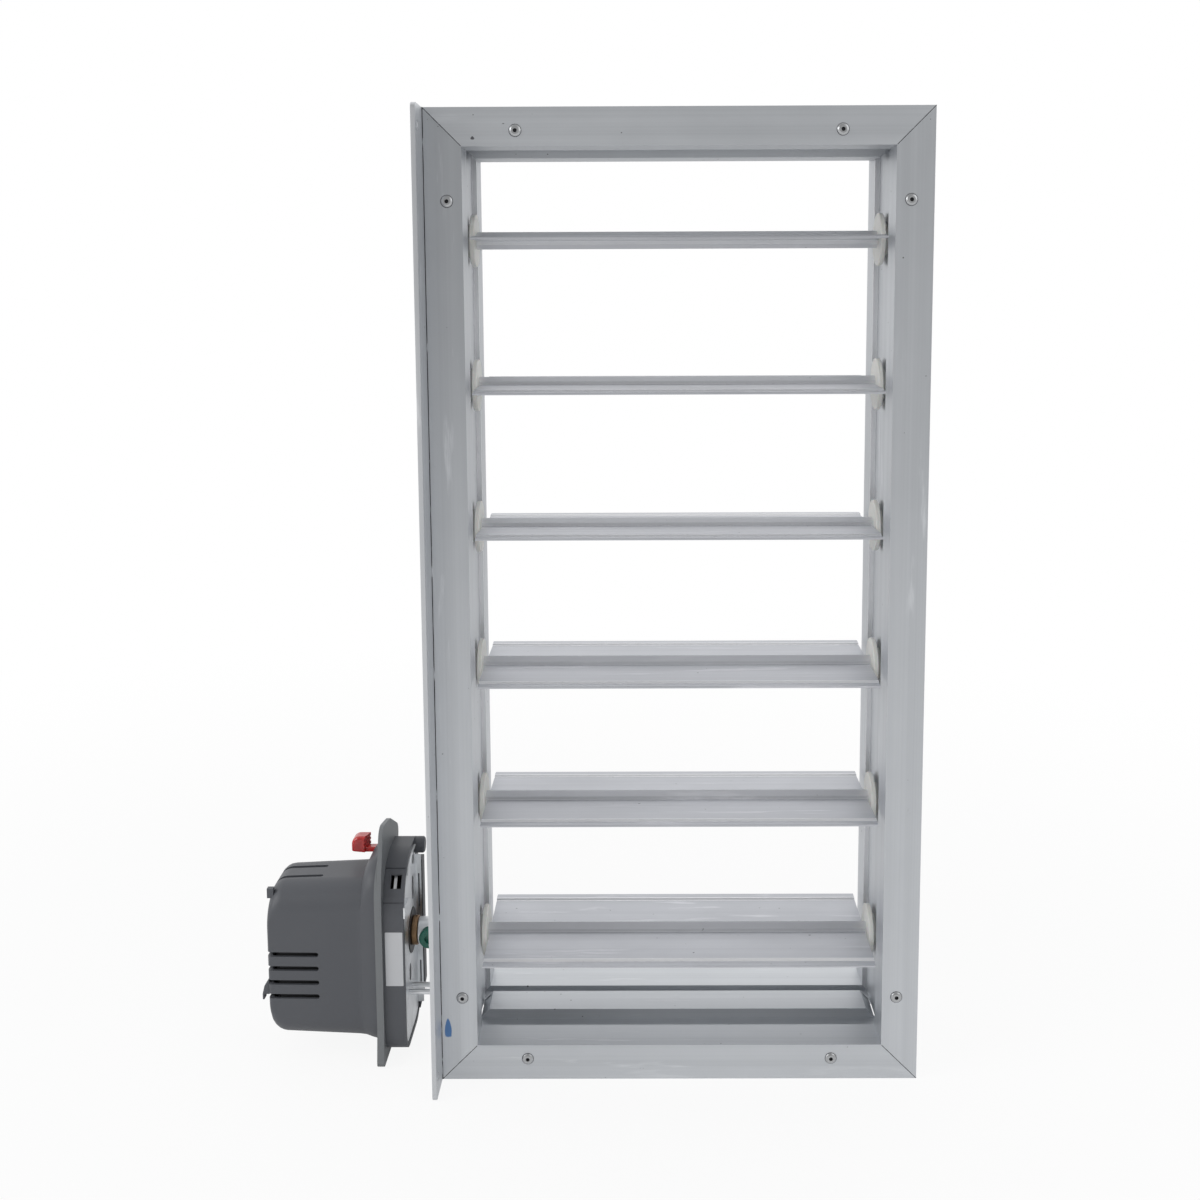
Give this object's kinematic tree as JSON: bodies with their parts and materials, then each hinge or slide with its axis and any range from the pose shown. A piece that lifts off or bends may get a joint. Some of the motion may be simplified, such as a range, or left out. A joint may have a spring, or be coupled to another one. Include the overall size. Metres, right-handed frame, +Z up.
{
  "type": "volume control damper",
  "caption": "Opposed-blade air volume control damper: aluminium frame, geared blades on nylon pivots, side plate and direct-coupled rotary actuator.",
  "frame": {"origin": "centre of the side plate's outer face, which is the centre of its four corner holes", "axes": "+X from the side plate across the frame, along the blade axes; +Y from the front face to the rear, along the air flow; +Z up"},
  "size_m": [0.4632, 0.166, 0.667],
  "materials": {
    "mill_aluminium": "mill finish, faint extrusion lines and rub marks",
    "rivet_aluminium": "satin",
    "white_nylon": "moulded off-white",
    "zinc_steel": "zinc plated",
    "bronze": "sintered bronze",
    "housing_grey": "satin moulded dark grey",
    "black_plastic": "satin black",
    "board_green": "solder mask",
    "brass_ring": "dull",
    "green_enamel": "gloss dark green",
    "red_plastic": "gloss, slightly translucent"
  },
  "bodies": {
    "frame": {"top_rail": "mill_aluminium", "bottom_rail": "mill_aluminium", "left_stile": "mill_aluminium", "right_stile": "mill_aluminium", "corner_brackets_front": "mill_aluminium", "corner_brackets_rear": "mill_aluminium", "corner_rivets_front": "rivet_aluminium", "corner_rivets_rear": "rivet_aluminium", "side_plate": "mill_aluminium", "side_plate_screws": "zinc_steel", "shaft_bearing": "bronze", "actuator_cover": "housing_grey", "actuator_flange": "housing_grey", "actuator_base": "housing_grey", "actuator_back_plate": "zinc_steel", "anti_rotation_rods": "zinc_steel", "actuator_cover_latch": "housing_grey", "actuator_gearmotor": "black_plastic", "actuator_circuit_board": "board_green", "lever_pin": "zinc_steel"},
    "blade_1": {"blade_1": "mill_aluminium", "gear_1": "white_nylon", "thrust_disc_1": "white_nylon", "bush_1": "white_nylon", "bush_clip_1": "zinc_steel"},
    "blade_2": {"blade_2": "mill_aluminium", "gear_2": "white_nylon", "thrust_disc_2": "white_nylon", "bush_2": "white_nylon", "bush_clip_2": "zinc_steel"},
    "blade_3": {"blade_3": "mill_aluminium", "gear_3": "white_nylon", "thrust_disc_3": "white_nylon", "bush_3": "white_nylon", "bush_clip_3": "zinc_steel"},
    "blade_4": {"blade_4": "mill_aluminium", "gear_4": "white_nylon", "thrust_disc_4": "white_nylon", "bush_4": "white_nylon", "bush_clip_4": "zinc_steel"},
    "blade_5": {"blade_5": "mill_aluminium", "gear_5": "white_nylon", "thrust_disc_5": "white_nylon", "bush_5": "white_nylon", "bush_clip_5": "zinc_steel"},
    "blade_6": {"blade_6": "mill_aluminium", "gear_6": "white_nylon", "thrust_disc_6": "white_nylon", "bush_6": "white_nylon", "bush_clip_6": "zinc_steel", "drive_shaft": "zinc_steel", "shaft_coupling": "zinc_steel", "clamp_bolt": "green_enamel", "hub_ring": "brass_ring", "actuator_hub": "black_plastic"},
    "release_lever": {"release_lever": "red_plastic"}
  },
  "joints": [
    {"name": "blade_6_turn", "type": "hinge", "parent": "frame", "child": "blade_6", "pos_m": [0.169, 0, -0.25], "axis": [1, 0, 0], "range_deg": [-1.2, 87.8]},
    {"name": "blade_5_turn", "type": "hinge", "parent": "frame", "child": "blade_5", "pos_m": [0.169, 0, -0.15], "axis": [1, 0, 0], "range_deg": [-87.8, 1.2]},
    {"name": "blade_4_turn", "type": "hinge", "parent": "frame", "child": "blade_4", "pos_m": [0.169, 0, -0.05], "axis": [1, 0, 0], "range_deg": [-1.2, 87.8]},
    {"name": "blade_3_turn", "type": "hinge", "parent": "frame", "child": "blade_3", "pos_m": [0.169, 0, 0.05], "axis": [1, 0, 0], "range_deg": [-87.8, 1.2]},
    {"name": "blade_2_turn", "type": "hinge", "parent": "frame", "child": "blade_2", "pos_m": [0.169, 0, 0.15], "axis": [1, 0, 0], "range_deg": [-1.2, 87.8]},
    {"name": "blade_1_turn", "type": "hinge", "parent": "frame", "child": "blade_1", "pos_m": [0.169, 0, 0.25], "axis": [1, 0, 0], "range_deg": [-87.8, 1.2]},
    {"name": "release_press", "type": "hinge", "parent": "frame", "child": "release_lever", "pos_m": [-0.0478, 0.01, -0.1914], "axis": [0, -1, 0], "range_deg": [0, 10], "stiffness_Nm_per_rad": 0.05}
  ],
  "couplings": [
    {"joint": "blade_5_turn", "follows": "blade_6_turn", "ratio": -1},
    {"joint": "blade_4_turn", "follows": "blade_6_turn", "ratio": 1},
    {"joint": "blade_3_turn", "follows": "blade_6_turn", "ratio": -1},
    {"joint": "blade_2_turn", "follows": "blade_6_turn", "ratio": 1},
    {"joint": "blade_1_turn", "follows": "blade_6_turn", "ratio": -1}
  ]
}
